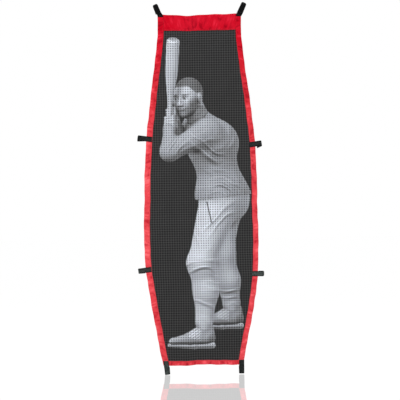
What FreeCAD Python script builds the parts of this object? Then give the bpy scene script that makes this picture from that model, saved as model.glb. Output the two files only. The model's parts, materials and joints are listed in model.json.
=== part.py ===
# Pitching target net: a printed mesh panel with a backing cloth, a sewn header, side and bottom
# bindings, and eight hook-and-loop webbing straps that tie it to a frame or a net.
# Millimetres, +Z up. The panel hangs in the XZ plane and its front faces -Y. The origin is the
# middle of the panel's top edge, so heights below it are given as drops.
import FreeCAD, Part
import math
import os

from FreeCAD import Vector

os.makedirs("parts", exist_ok=True)

# Panel outline: half of it is a path through five corners, the inner three of them rounded.
panel_height = 2008.0
top_width = 478.0
neck_width = 474.0
neck_drop = 130.0
shoulder_width = 631.0
shoulder_drop = 742.0
hip_width = 659.0
hip_drop = 1460.0
bottom_width = 458.0
neck_radius = 760.0
shoulder_radius = 3600.0
hip_radius = 2000.0

# Cloth layers
mesh_thickness = 1.0
backing_thickness = 0.4
binding_wall = 0.8
side_binding_width = 33.0
header_height = 91.0
bottom_binding_height = 26.0
fold_rounding = 1.1  # the outer edge of a binding or the header, where the tape turns back
match_tolerance = 1e-3  # how closely two places have to agree to count as one

# Mesh: square gaps between flat strands
mesh_pitch = 60.0
mesh_gap = 46.0
mesh_margin = 6.0  # from a gap to the inner edge of a binding
smallest_gap_share = 0.2  # a gap trimmed to less than this share stays closed

# Webbing straps
webbing_width = 30.0
webbing_thickness = 1.6
patch_width = 26.0
patch_thickness = 1.5
patch_end_margin = 5.0  # from a patch to the fold at the strap's tip
swing_offset = 2.0  # from the panel's edge to the line that a strap bends about
swing_clearance = 0.2  # between the sewn base and the rounded root of the leg
flap_clearance = 3.2  # between the panel's back and a flap when its strap is swung right back
side_base_length = side_binding_width
top_base_length = 14.0
bottom_base_length = bottom_binding_height
square_tip_radius = 3.0
round_tip_radius = 10.0

# Each strap: name, the panel's edge that it is sewn to, its place there, the direction it points
# in (degrees from +X towards +Z), how far it reaches past the edge, its base and its tip.
# The place is the drop on a side. On the top or bottom it is how far the strap's middle lies
# outward of the side binding's inner edge, so that its base is sewn across that seam.
straps = [
    ("top_left", "top", -1, 21.0, 112.9, 66.0, top_base_length, round_tip_radius),
    ("top_right", "top", 1, 24.0, 64.2, 72.0, top_base_length, round_tip_radius),
    ("upper_left", "side", -1, 709.0, 172.8, 54.0, side_base_length, square_tip_radius),
    ("upper_right", "side", 1, 746.0, 8.0, 40.0, side_base_length, square_tip_radius),
    ("lower_left", "side", -1, 1461.0, 187.0, 47.5, side_base_length, square_tip_radius),
    ("lower_right", "side", 1, 1489.0, -0.8, 38.0, side_base_length, square_tip_radius),
    ("bottom_left", "bottom", -1, 15.5, 276.3, 54.0, bottom_base_length, square_tip_radius),
    ("bottom_right", "bottom", 1, 23.0, 269.3, 52.0, bottom_base_length, square_tip_radius),
]

# Depths of the layers, from the front of the panel (-Y) to its back
core_thickness = mesh_thickness + backing_thickness
core_front = -core_thickness / 2
core_back = core_thickness / 2
mesh_back = core_front + mesh_thickness
panel_front = core_front - binding_wall
panel_back = core_back + binding_wall
leg_front = panel_front - webbing_thickness
swing_depth = panel_front - webbing_thickness / 2
# The leg and the flap lie on either side of the two patches, which meet at contact_depth.
contact_depth = panel_front + patch_thickness
flap_front = contact_depth + patch_thickness
flap_back = flap_front + webbing_thickness
fold_inner_radius = patch_thickness
fold_outer_radius = patch_thickness + webbing_thickness
# A flap's free end starts this far past the panel's edge, so that it swings clear of the back.
flap_start = swing_offset + panel_back - swing_depth + flap_clearance


def save(name, shape):
    """Write one checked piece as its own STEP file."""
    if not shape.isValid() or shape.Volume <= 0:
        raise ValueError(name + " is not a sound solid")
    shape.exportStep("parts/" + name + ".step")
    print(name, len(shape.Solids), "solid", round(shape.Volume, 1), "mm3")


def box_between(low, high):
    """Box from one corner to the other."""
    size = high - low
    return Part.makeBox(size.x, size.y, size.z, low)


def rounded_path(points, radii):
    """Edges through the points, with an arc of the given radius at each inner point."""
    edges = []
    start = points[0]
    for before, corner, after, radius in zip(points, points[1:], points[2:], radii):
        arriving = (corner - before).normalize()
        leaving = (after - corner).normalize()
        half_turn = arriving.getAngle(leaving) / 2
        tangent_length = radius * math.tan(half_turn)
        arc_start = corner - arriving * tangent_length
        arc_end = corner + leaving * tangent_length
        towards_centre = (leaving - arriving).normalize()
        arc_depth = radius / math.cos(half_turn) - radius
        arc_middle = corner + towards_centre * arc_depth
        edges.append(Part.LineSegment(start, arc_start).toShape())
        edges.append(Part.Arc(arc_start, arc_middle, arc_end).toShape())
        start = arc_end
    edges.append(Part.LineSegment(start, points[-1]).toShape())
    return edges


def side_path(sign):
    """The right (1) or left (-1) edge of the panel, from its top to its bottom."""
    corners = [
        (top_width, 0.0),
        (neck_width, neck_drop),
        (shoulder_width, shoulder_drop),
        (hip_width, hip_drop),
        (bottom_width, panel_height),
    ]
    points = [Vector(sign * width / 2, 0, -drop) for width, drop in corners]
    return rounded_path(points, [neck_radius, shoulder_radius, hip_radius])


def panel_outline():
    right, left = side_path(1), side_path(-1)
    top = Part.LineSegment(left[0].Vertexes[0].Point, right[0].Vertexes[0].Point).toShape()
    bottom = Part.LineSegment(right[-1].Vertexes[1].Point, left[-1].Vertexes[1].Point).toShape()
    return Part.Wire(Part.__sortEdges__([top] + right + [bottom] + left))


def slab(face, front, back):
    """The flat cloth of one face of the XZ plane, between two depths."""
    placed = face.copy()
    placed.translate(Vector(0, front, 0))
    return placed.extrude(Vector(0, back - front, 0))


def between_drops(shape, upper_drop, lower_drop):
    """The part of a shape that hangs between two heights."""
    reach = hip_width
    low = Vector(-reach, -reach, -lower_drop)
    high = Vector(reach, reach, -upper_drop)
    return shape.common(box_between(low, high))


outline_face = Part.Face(panel_outline())


def inset_region(side_inset, top_inset, bottom_inset):
    """The panel's face, narrowed along both sides and cut off below its top and above its foot."""
    moved = []
    for sign in (1, -1):
        face = outline_face.copy()
        face.translate(Vector(sign * side_inset, 0, 0))
        moved.append(face)
    region = moved[0].common(moved[1])
    return between_drops(region, top_inset, panel_height - bottom_inset).Faces[0]


# Where the mesh and the backing lie, inside the folds
core_region = inset_region(binding_wall, binding_wall, binding_wall)


def gap_wires():
    """Square gaps in columns and rows, trimmed where they meet the bindings' margin."""
    field = inset_region(
        side_binding_width + mesh_margin,
        header_height + mesh_margin,
        bottom_binding_height + mesh_margin,
    )
    columns = math.ceil(hip_width / mesh_pitch / 2)
    rows = math.ceil(panel_height / mesh_pitch)
    wires = []
    for row in range(rows):
        drop = header_height + mesh_margin + mesh_gap / 2 + row * mesh_pitch
        for column in range(-columns, columns + 1):
            gap = strip_face(-mesh_gap / 2, mesh_gap / 2, mesh_gap)
            gap.translate(Vector(column * mesh_pitch, 0, -drop))
            open_part = gap.common(field)
            if open_part.Area > smallest_gap_share * gap.Area:
                wires.append(open_part.Faces[0].OuterWire)
    print(len(wires), "gaps in the mesh")
    return wires


def target_mesh():
    holed_face = Part.Face([core_region.OuterWire] + gap_wires())
    return slab(holed_face, core_front, mesh_back)


def backing_cloth():
    return slab(core_region, mesh_back, core_back)


def tape(region, hidden_region):
    """Cloth folded round the panel's edge: a front and a back wall joined along the fold."""
    body = slab(region, panel_front, panel_back)
    return body.cut(slab(hidden_region, core_front, core_back))


def round_fold(shape, fold_edges):
    """Round the outer corners of a fold that runs along the given edges of the XZ plane."""
    corners = []
    for edge in shape.Edges:
        for fold in fold_edges:
            for depth in (panel_front, panel_back):
                centre = fold.CenterOfMass + Vector(0, depth, 0)
                if edge.CenterOfMass.isEqual(centre, match_tolerance):
                    corners.append(edge)
    return shape.makeFillet(fold_rounding, corners)


def side_binding(sign):
    inner_region = inset_region(side_binding_width, 0, 0)
    ring = tape(outline_face.cut(inner_region), inset_region(binding_wall, 0, 0))
    side = [solid for solid in ring.Solids if solid.CenterOfMass.x * sign > 0][0]
    return round_fold(side, side_path(sign))


def header_band():
    inner_region = inset_region(side_binding_width, 0, 0)
    band = tape(
        between_drops(inner_region, 0, header_height),
        inset_region(side_binding_width, binding_wall, 0),
    )
    return round_fold(band, band_edges(band, 0))


def bottom_binding():
    inner_region = inset_region(side_binding_width, 0, 0)
    band = tape(
        between_drops(inner_region, panel_height - bottom_binding_height, panel_height),
        inset_region(side_binding_width, 0, binding_wall),
    )
    return round_fold(band, band_edges(band, panel_height))


def band_edges(band, drop):
    """The fold line of a band across the panel, at the given drop."""
    half = max(vertex.X for vertex in band.Vertexes if abs(vertex.Z + drop) < match_tolerance)
    ends = Vector(-half, 0, -drop), Vector(half, 0, -drop)
    return [Part.LineSegment(*ends).toShape()]


def edge_frame(edge, sign, place):
    """A point on the panel's edge and the angle of the outward normal there."""
    if edge == "top":
        return Vector(sign * (top_width / 2 - side_binding_width + place), 0, 0), 90.0
    if edge == "bottom":
        return Vector(sign * (bottom_width / 2 - side_binding_width + place), 0, -panel_height), 270.0
    level = Part.LineSegment(Vector(0, 0, -place), Vector(sign * hip_width, 0, -place)).toShape()
    for part in side_path(sign):
        gap, points, _ = part.distToShape(level)
        if gap < match_tolerance:
            point = points[0][0]
            along = part.tangentAt(part.Curve.parameter(point))
            normal = Vector(along.z, 0, -along.x)
            if normal.x * sign < 0:
                normal = -normal
            return point, math.degrees(math.atan2(normal.z, normal.x))
    raise ValueError("no edge at that drop")


def turned(shape, point, angle):
    """Stand a shape drawn along +X at a point, pointing at an angle in the XZ plane."""
    placed = shape.copy()
    placed.rotate(Vector(), Vector(0, -1, 0), angle)
    placed.translate(point)
    return placed


def direction(angle):
    return Vector(math.cos(math.radians(angle)), 0, math.sin(math.radians(angle)))


def strip_face(start, end, width):
    """Rectangle along +X in the XZ plane."""
    low, high = Vector(start, 0, -width / 2), Vector(end, 0, width / 2)
    corners = [low, Vector(end, 0, low.z), high, Vector(start, 0, high.z)]
    return Part.Face(Part.makePolygon(corners + corners[:1]))


def strap_outline(start, end, tip_radius):
    """Webbing as seen from the front, with its two tip corners rounded."""
    half = webbing_width / 2
    tip = Vector(end, 0, 0)
    path = [
        Vector(start, 0, -half),
        Vector(end, 0, -half),
        tip,
        Vector(end, 0, half),
        Vector(start, 0, half),
    ]
    lower = rounded_path(path[:3], [tip_radius])
    upper = rounded_path(path[2:], [tip_radius])
    closing = Part.LineSegment(path[-1], path[0]).toShape()
    return Part.Face(Part.Wire(lower + upper + [closing]))


def strap_pieces(name, edge, sign, place, angle, reach, base_length, tip_radius):
    """One strap: its sewn base, its leg, the fold at the tip, the flap and the two patches."""
    root, normal_angle = edge_frame(edge, sign, place)
    far = base_length + webbing_width
    fold_start = reach - fold_outer_radius
    leg_radius = webbing_thickness / 2

    def beyond(start, end):
        """Everything between two distances from the panel's edge."""
        low = Vector(start, leg_front - far, -far)
        return turned(box_between(low, Vector(end, flap_back + far, far)), root, normal_angle)

    def laid(face, front, back):
        return turned(slab(face, front, back), root, angle)

    outline = strap_outline(-far, reach, tip_radius)
    straight = outline.common(strip_face(-far, fold_start, webbing_width)).Faces[0]
    patch = strip_face(-far, fold_start - patch_end_margin, patch_width)

    webbing = laid(straight, leg_front, panel_front)
    base_end = swing_offset - leg_radius - swing_clearance
    base = webbing.common(beyond(-base_length, base_end))

    bend = Part.makeCylinder(leg_radius, 2 * far, Vector(swing_offset, swing_depth, -far))
    rounded_root = webbing.common(turned(bend, root, normal_angle))
    leg = webbing.common(beyond(swing_offset, reach)).fuse(rounded_root).removeSplitter()

    outside = beyond(flap_start, reach)
    flap = laid(straight, flap_front, flap_back).common(outside)
    hook_patch = laid(patch, panel_front, contact_depth).common(outside)
    loop_patch = laid(patch, contact_depth, flap_front).common(outside)

    centre = Vector(fold_start, contact_depth, -far)
    ring = Part.makeCylinder(fold_outer_radius, 2 * far, centre)
    ring = ring.cut(Part.makeCylinder(fold_inner_radius, 2 * far, centre))
    fold = turned(ring, root, angle).common(
        laid(outline.cut(strip_face(-far, fold_start, webbing_width)), leg_front, flap_back)
    )

    across = direction(normal_angle + 90)
    swing_point = root + direction(normal_angle) * swing_offset + Vector(0, swing_depth, 0)
    close_point = root + direction(angle) * fold_start + Vector(0, contact_depth, 0)
    close_axis = -direction(angle + 90)
    tip_point = root + direction(angle) * reach
    print("strap", name, "swing", *swing_point, *across, "close", *close_point, *close_axis)
    print("strap", name, "tip", *tip_point, "root", *root)
    return {
        "_strap_base": base,
        "_strap_leg": leg,
        "_strap_fold": fold,
        "_strap_flap": flap,
        "_hook_patch": hook_patch,
        "_loop_patch": loop_patch,
    }


save("target_mesh", target_mesh())
save("backing_cloth", backing_cloth())
save("header_band", header_band())
save("left_side_binding", side_binding(-1))
save("right_side_binding", side_binding(1))
save("bottom_binding", bottom_binding())
for strap in straps:
    for suffix, piece in strap_pieces(*strap).items():
        save(strap[0] + suffix, piece)
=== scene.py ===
import json
import math
from types import SimpleNamespace

import bmesh
import bpy
import numpy as np
from mathutils import Matrix, Vector

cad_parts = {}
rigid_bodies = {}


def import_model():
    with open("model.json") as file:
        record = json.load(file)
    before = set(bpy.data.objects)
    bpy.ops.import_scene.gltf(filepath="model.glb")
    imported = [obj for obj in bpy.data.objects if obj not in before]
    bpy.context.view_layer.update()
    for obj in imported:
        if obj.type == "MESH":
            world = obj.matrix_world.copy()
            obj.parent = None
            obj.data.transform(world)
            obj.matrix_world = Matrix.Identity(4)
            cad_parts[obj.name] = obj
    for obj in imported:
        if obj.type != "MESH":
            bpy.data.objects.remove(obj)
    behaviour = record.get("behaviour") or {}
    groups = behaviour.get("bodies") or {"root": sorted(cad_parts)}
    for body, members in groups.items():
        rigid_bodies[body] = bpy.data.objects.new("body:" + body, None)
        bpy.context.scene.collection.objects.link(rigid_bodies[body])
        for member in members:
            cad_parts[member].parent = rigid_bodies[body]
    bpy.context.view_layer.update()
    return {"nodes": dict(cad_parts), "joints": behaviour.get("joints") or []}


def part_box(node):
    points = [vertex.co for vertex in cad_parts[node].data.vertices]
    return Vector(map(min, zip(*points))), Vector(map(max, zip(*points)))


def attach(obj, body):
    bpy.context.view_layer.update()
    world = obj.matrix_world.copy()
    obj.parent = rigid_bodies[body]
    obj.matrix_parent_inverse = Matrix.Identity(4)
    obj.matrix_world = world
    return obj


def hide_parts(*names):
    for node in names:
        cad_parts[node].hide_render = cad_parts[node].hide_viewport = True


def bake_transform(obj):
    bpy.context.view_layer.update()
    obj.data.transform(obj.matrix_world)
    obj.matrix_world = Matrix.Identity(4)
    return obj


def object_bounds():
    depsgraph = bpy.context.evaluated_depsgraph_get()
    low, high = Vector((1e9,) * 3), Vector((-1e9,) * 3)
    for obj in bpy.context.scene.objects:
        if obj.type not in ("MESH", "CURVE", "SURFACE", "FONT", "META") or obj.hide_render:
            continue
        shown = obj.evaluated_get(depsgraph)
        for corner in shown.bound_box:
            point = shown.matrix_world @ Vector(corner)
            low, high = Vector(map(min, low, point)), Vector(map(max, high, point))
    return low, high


for leftover in list(bpy.data.objects):
    bpy.data.objects.remove(leftover)
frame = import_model()
print("frame loaded")

# In metres. The panel hangs in XZ and its front faces -Y.
panelHeight = -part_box("left_side_binding")[0][2]
layers = {"outer": 0.0015, "mesh": -0.0004, "backing": 0.0004, "wall": 0.0005}
bindings = {"left": 0.0342, "right": 0.0305, "header": 0.091, "bottom": 0.026}
tuck = 0.005  # how far the cross bands reach under the side bindings


def clipped(value, low=0, high=1):
    return np.clip(value, low, high)


# Smooth random values from -1 to 1
def noise(x, y, seed):
    table = np.random.default_rng(seed).uniform(-1, 1, (64, 64))
    xi, yi = np.floor(x).astype(int), np.floor(y).astype(int)
    fx, fy = x - xi, y - yi
    fx, fy = fx * fx * (3 - 2 * fx), fy * fy * (3 - 2 * fy)
    total = 0.0
    for j, v in ((0, 1 - fy), (1, fy)):
        for i, u in ((0, 1 - fx), (1, fx)):
            total = total + table[(xi + i) % 64, (yi + j) % 64] * u * v
    return total


def smooth(value, low, high):
    t = clipped((value - low) / (high - low))
    return t * t * (3 - 2 * t)


cadEdge = np.array([v.co for v in frame["nodes"]["backing_cloth"].data.vertices])
cadEdge = cadEdge[cadEdge[:, 0] > 0]
cadEdge = cadEdge[np.argsort(-cadEdge[:, 2])]
edgeDrop, edgeHalf = -cadEdge[:, 2], cadEdge[:, 0] + 0.0008


def halfWidth(drop):
    return np.interp(drop, edgeDrop, edgeHalf)


def sway(size, turns, phase):
    return size * np.sin(2 * np.pi * turns + phase)


# The panel's slow waves, which all its layers and seams take
def hang(points, share=1.0):
    x, drop = points[:, 0], -points[:, 2]
    rise = panelHeight - drop
    wave = sway(0.0012, x / 0.47 + 0.3 * drop, 0.6) + sway(0.0009, drop / 0.83 - 0.9 * x, 2.1)
    wave += sway(0.0005, drop / 0.27 + x / 0.35, 4.0)
    top = sway(0.0034, x / 0.42, -0.67) + sway(0.0011, x / 0.2, 0.67) + sway(0.0013, x / 0.11, 2.36)
    foot = sway(0.0029, x / 0.3, 1.2) + sway(0.0009, x / 0.15, 2.4) + sway(0.0008, x / 0.085, -1.5)
    lift = (top - 0.0014) * np.exp(-drop / 0.11) + (foot + 0.0095 * x) * np.exp(-rise / 0.06)
    right = 2.0 * (x > 0)  # the two edges wave apart
    side = sway(0.0009, drop / 0.26, 1.0 + right) + sway(0.0006, drop / 0.094, right)
    side = (side + 0.002 * np.sign(x)) * smooth(np.abs(x), 0.1, 0.3)
    side = side * smooth(drop, 0.0, 0.1) * smooth(rise, 0.0, 0.1)
    bulges = ((0.002, 0.0, 0.18), (-0.0036, 1.18, 0.32), (0.0022, 1.63, 0.13), (-0.0016, 1.9, 0.09))
    for size, centre, reach in bulges:
        side = side + size * np.exp(-(((drop - centre) / reach) ** 2))
    return points + np.stack([side, wave, lift], 1) * np.reshape(share, (-1, 1))


# A node's output that takes part in sums
class Flow:

    def __init__(self, socket):
        self.socket, self.tree = socket, socket.id_data

    def maths(self, operation, other=0.0, clamp=False):
        inputs = {0: self, 1: other}
        return made(self.tree, "Math", inputs, operation=operation, use_clamp=clamp)

    def ranged(self, low, high, bottom=0.0, top=1.0):
        return made(self.tree, "MapRange", {0: self, 1: low, 2: high, 3: bottom, 4: top})

    def __add__(self, other):
        return self.maths("ADD", other)

    def __mul__(self, other):
        return self.maths("MULTIPLY", other)

    def __truediv__(self, other):
        return self.maths("DIVIDE", other)

    def __rsub__(self, other):
        return made(self.tree, "Math", {0: other, 1: self}, operation="SUBTRACT")


# A node of the first family that knows its kind
def addNode(tree, kind, inputs=None, **settings):
    families = ("ShaderNode", "GeometryNode", "FunctionNode", "Node")
    names = [family + kind for family in families if hasattr(bpy.types, family + kind)]
    node = tree.nodes.new(names[0])
    for key, value in settings.items():
        setattr(node, key, value)
    return setInputs(node, inputs or {})


def setInputs(node, inputs):
    for key, value in inputs.items():
        if isinstance(value, Flow):
            value.tree.links.new(value.socket, node.inputs[key])
        else:
            node.inputs[key].default_value = value
    return node


def made(tree, kind, inputs=None, output=0, **settings):
    return Flow(addNode(tree, kind, inputs, **settings).outputs[output])


def mixed(share, first, second, blend="MIX"):
    tree = next(value.tree for value in (share, first) if isinstance(value, Flow))
    first, second = (c if isinstance(c, Flow) else (*c, 1.0) for c in (first, second))
    inputs = {0: share, 6: first, 7: second}
    return made(tree, "Mix", inputs, 2, data_type="RGBA", blend_type=blend)


def linked(name, data):
    thing = bpy.data.objects.new(name, data)
    bpy.context.scene.collection.objects.link(thing)
    return thing


def meshPiece(name, points, faces, material, values=None, closed=True):
    mesh = bpy.data.meshes.new(name)
    mesh.from_pydata([tuple(p) for p in points], [], [tuple(f) for f in faces])
    for key, value in (values or {}).items():
        data = mesh.attributes.new(key, "FLOAT", "POINT").data
        data.foreach_set("value", np.asarray(value, np.float32))
    if closed:
        shell = bmesh.new()
        shell.from_mesh(mesh)
        bmesh.ops.recalc_face_normals(shell, faces=shell.faces)
        shell.to_mesh(mesh)
        shell.free()
    mesh.polygons.foreach_set("use_smooth", [True] * len(mesh.polygons))
    mesh.materials.append(materials[material])
    mesh.update()
    return linked(name, mesh)


# A piece's body, its colour slot, which is not used, and the CAD nodes that it stands for
def seat(piece, body, slot, *nodes):
    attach(piece, body)
    if nodes:
        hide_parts(*nodes)


# Quads between rows of points; wrap closes each row into a ring
def gridFaces(rows, columns, wrap=False):
    across = np.arange(columns if wrap else columns - 1)
    r, c = (grid.ravel() for grid in np.meshgrid(np.arange(rows - 1), across, indexing="ij"))
    here, beside = r * columns + c, r * columns + (c + 1) % columns
    return np.stack([here, beside, beside + columns, here + columns], 1)


# A skin through rings of points
def tube(rings, capStart=True, capEnd=True):
    count, size = rings.shape[:2]
    faces = [tuple(f) for f in gridFaces(count, size, wrap=True)]
    if capStart:
        faces.append(tuple(range(size))[::-1])
    if capEnd:
        faces.append(tuple(range((count - 1) * size, count * size)))
    return rings.reshape(-1, 3), faces


# Shader group: the height of threads and the painted shade in the gaps between them
def threadGroup(name, heightOf, power):
    group = bpy.data.node_groups.new(name, "ShaderNodeTree")
    for way, labels in (("INPUT", ("Along", "Across", "Pitch")), ("OUTPUT", ("Height", "Dark"))):
        for label in labels:
            group.interface.new_socket(name=label, in_out=way, socket_type="NodeSocketFloat")
    outputs = addNode(group, "GroupInput").outputs
    height = heightOf(*[Flow(outputs[label]) for label in ("Along", "Across", "Pitch")])
    addNode(group, "GroupOutput", {"Height": height, "Dark": (1.0 - height).maths("POWER", power)})
    return group


def ridge(value):
    return (value.maths("FRACT") * math.pi).maths("SINE")


# Threads pass over and under each other in turn
def weave(along, across, pitch):
    u, v = along / pitch, across / pitch
    over = (u.maths("FLOOR") + v.maths("FLOOR")).maths("PINGPONG", 1.0)
    return ridge(u) * over + ridge(v) * (1.0 - over)


# Lengthwise ribs with short cross picks, staggered from rib to rib
def ribs(along, across, pitch):
    u, v = along / (pitch * 0.8), across / pitch
    picks = ((u + v.maths("PINGPONG", 1.0)) * (2 * math.pi)).maths("SINE")
    return ridge(v) * (picks * 0.25 + 0.75)


groups = {
    "weave": threadGroup("Plain Weave", weave, 2.0),
    "ribs": threadGroup("Webbing Ribs", ribs, 3.0),
}


def attribute(tree, name):
    return made(tree, "Attribute", output="Fac", attribute_name=name)


def threads(tree, kind, pitch):
    along, across = attribute(tree, "along"), attribute(tree, "across")
    inputs = {"Along": along, "Across": across, "Pitch": pitch}
    outputs = addNode(tree, "Group", inputs, node_tree=groups[kind]).outputs
    return Flow(outputs["Height"]), Flow(outputs["Dark"])


# Noise spread between two values
def cloudy(tree, scale, detail=3.0, low=0.0, high=1.0):
    where = made(tree, "TexCoord", output="Object")
    inputs = {"Vector": where, "Scale": scale, "Detail": detail}
    return made(tree, "TexNoise", inputs, "Fac").ranged(0.3, 0.7, low, high)


def newMaterial(name):
    material = bpy.data.materials.new(name)
    material.use_nodes = True
    return material, material.node_tree


def painted(material, colour, roughness, height, depth, **more):
    bump = made(colour.tree, "Bump", {"Height": height, "Strength": 1.0, "Distance": depth})
    inputs = {"Base Color": colour, "Roughness": roughness, "Normal": bump}
    names = {"gloss": "Specular IOR Level", "tint": "Specular Tint", "sheen": "Sheen Weight"}
    inputs.update((names[key], value) for key, value in more.items())
    setInputs(colour.tree.nodes["Principled BSDF"], inputs)
    return material


# Taffeta: painted shade in its creases and between its threads, and painted highlight on
# the crowns of its puckers
def redClothMaterial():
    material, tree = newMaterial("red cloth")
    height, gapShade = threads(tree, "weave", 0.0006)
    rumple, paintedSheen = attribute(tree, "rumple"), attribute(tree, "paintedSheen")
    # Each colour pales towards its painted sheen version
    body, paintedHighlight, creaseShading = (mixed(paintedSheen, *redCloth[kind]) for kind in ("body", "paintedHighlight", "creaseShading"))
    # Random patches of painted sheen, towards the painted highlight colour
    colour = mixed(cloudy(tree, 9.0, 2.0) * 0.3, body, paintedHighlight)
    # Painted highlight on the crowns of the puckers
    colour = mixed(rumple.ranged(0.1, 0.95) * 0.85, colour, paintedHighlight)
    # Painted shade in the creases
    colour = mixed(rumple.ranged(-0.15, -0.9) * 0.8, colour, creaseShading)
    # Painted shade between the threads
    colour = mixed(gapShade * 0.25, colour, creaseShading)
    height = height + cloudy(tree, 260.0, 2.0, 0.0, 1.5)
    roughness = cloudy(tree, 40.0, 3.0, 0.42, 0.6)
    pink = (1.0, 0.3, 0.36, 1.0)
    return painted(material, colour, roughness, height, 0.0001, gloss=0.05, tint=pink)


# Print, with painted highlight along the raised strands, and painted shade towards and round each
# hole and between the threads
def printedMeshMaterial():
    material, tree = newMaterial("printed mesh")
    height, gapShade = threads(tree, "weave", 0.0018)
    tone, pit, strand = (attribute(tree, name) for name in ("tone", "pit", "strand"))
    grey = made(tree, "CombineColor", {0: tone, 1: tone, 2: tone})
    lightInk = tone.maths("MULTIPLY", 3.0, clamp=True)
    colour = mixed(1.0, grey, mixed(lightInk, (1.01, 1.0, 1.0), (0.95, 1.0, 1.09)), "MULTIPLY")
    # Painted highlight on the strands and painted shade towards the holes, on the dark ground
    lift = {0: lightInk * 0.84, 2: strand.ranged(0.0, 1.0, 0.46, 1.46), 3: 0.95}
    # Painted shade round each hole, less on the light ink
    sunk = 1.0 - pit * (0.64 - tone * 0.22)
    # Painted shade between the threads
    share = made(tree, "Mix", lift) * sunk * (1.0 - gapShade * 0.3)
    share = share * cloudy(tree, 14.0, 3.0, 0.95, 1.05)
    colour = made(tree, "VectorMath", {0: colour, "Scale": share}, operation="SCALE")
    return painted(material, colour, 0.72, height, 0.00035, gloss=0.1)


# Dark nylon, with painted shade between its threads, lighter where it is rubbed, and painted
# light where it is lit
def darkMaterial(
        name, colour, pitch, roughness, sheen, grey, gloss=0.12, kind="weave", depth=0.00025):
    material, tree = newMaterial(name)
    height, gapShade = threads(tree, kind, pitch)
    shade = mixed(cloudy(tree, 60.0, 4.0, 0.0, 0.8), colour, tuple(c + grey for c in colour))
    # Painted shade between the threads
    shade = mixed(gapShade * 0.7, shade, tuple(0.4 * c for c in colour))
    rubbed = attribute(tree, "rim") * cloudy(tree, 150.0, 2.0, 0.2, 0.8)
    shade = mixed(rubbed, shade, tuple(c + 1.6 * grey for c in colour))
    # Painted light, by the lit value
    facing = attribute(tree, "lit") * cloudy(tree, 90.0, 3.0, 0.45, 1.45)
    shade = mixed(facing, shade, (0.08, 0.096, 0.09))
    return painted(material, shade, roughness, height, depth, gloss=gloss, sheen=sheen)


def threadMaterial(name, colour):
    material, tree = newMaterial(name)
    tone = mixed(cloudy(tree, 500.0, 2.0), colour, tuple(0.7 * c for c in colour))
    return painted(material, tone, 0.55, cloudy(tree, 2500.0, 1.0), 0.0001)


polish = {"glow": 1.04, "brightness": 0.92, "mirror": 0.42, "roughness": 0.008}


# Polished white floor that still takes a shadow
def floorMaterial():
    material, tree = newMaterial("floor")
    tree.nodes.remove(tree.nodes["Principled BSDF"])
    white = (1.0, 1.0, 1.0, 1.0)
    seen = made(tree, "LightPath", output="Is Camera Ray")
    ground = made(tree, "BsdfDiffuse", {"Color": (0.8, 0.8, 0.8, 1.0)})
    glow = made(tree, "Emission", {"Color": white, "Strength": polish["glow"]})
    mirror = made(tree, "BsdfAnisotropic", {"Color": white, "Roughness": polish["roughness"]})
    bright = made(tree, "MixShader", {0: polish["brightness"], 1: ground, 2: glow})
    both = made(tree, "MixShader", {0: polish["mirror"], 1: bright, 2: mirror})
    plain = made(tree, "MixShader", {0: seen, 1: ground, 2: both})
    setInputs(tree.nodes["Material Output"], {"Surface": plain})
    return material


# In full colour, and where the cloth pales with painted sheen. The rows are the cloth's colour,
# the painted highlight on its crowns and the painted shade in its creases
redCloth = {
    "body": ((0.43, 0.0, 0.008), (0.62, 0.044, 0.056)),
    "paintedHighlight": ((0.76, 0.024, 0.054), (0.92, 0.15, 0.165)),
    "creaseShading": ((0.2, 0.0, 0.005), (0.38, 0.01, 0.02)),
}
materials = {
    "red": redClothMaterial(),
    "mesh": printedMeshMaterial(),
    "backing": darkMaterial("backing", (0.01, 0.01, 0.011), 0.0011, 0.85, 0.02, 0.01),
    "webbing": darkMaterial(
        "webbing", (0.0024, 0.0024, 0.0028), 0.0021, 0.6, 0.0, 0.003, 0.03, "ribs", 0.0005),
    "hook": darkMaterial("hook tape", (0.007, 0.007, 0.008), 0.0015, 0.45, 0.01, 0.014),
    "loop": darkMaterial("loop tape", (0.009, 0.009, 0.01), 0.0012, 0.9, 0.08, 0.014),
    "redThread": threadMaterial("red thread", (0.52, 0.002, 0.018)),
    "blackThread": threadMaterial("black thread", (0.022, 0.022, 0.024)),
    "floor": floorMaterial(),
}
print("materials made")


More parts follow.
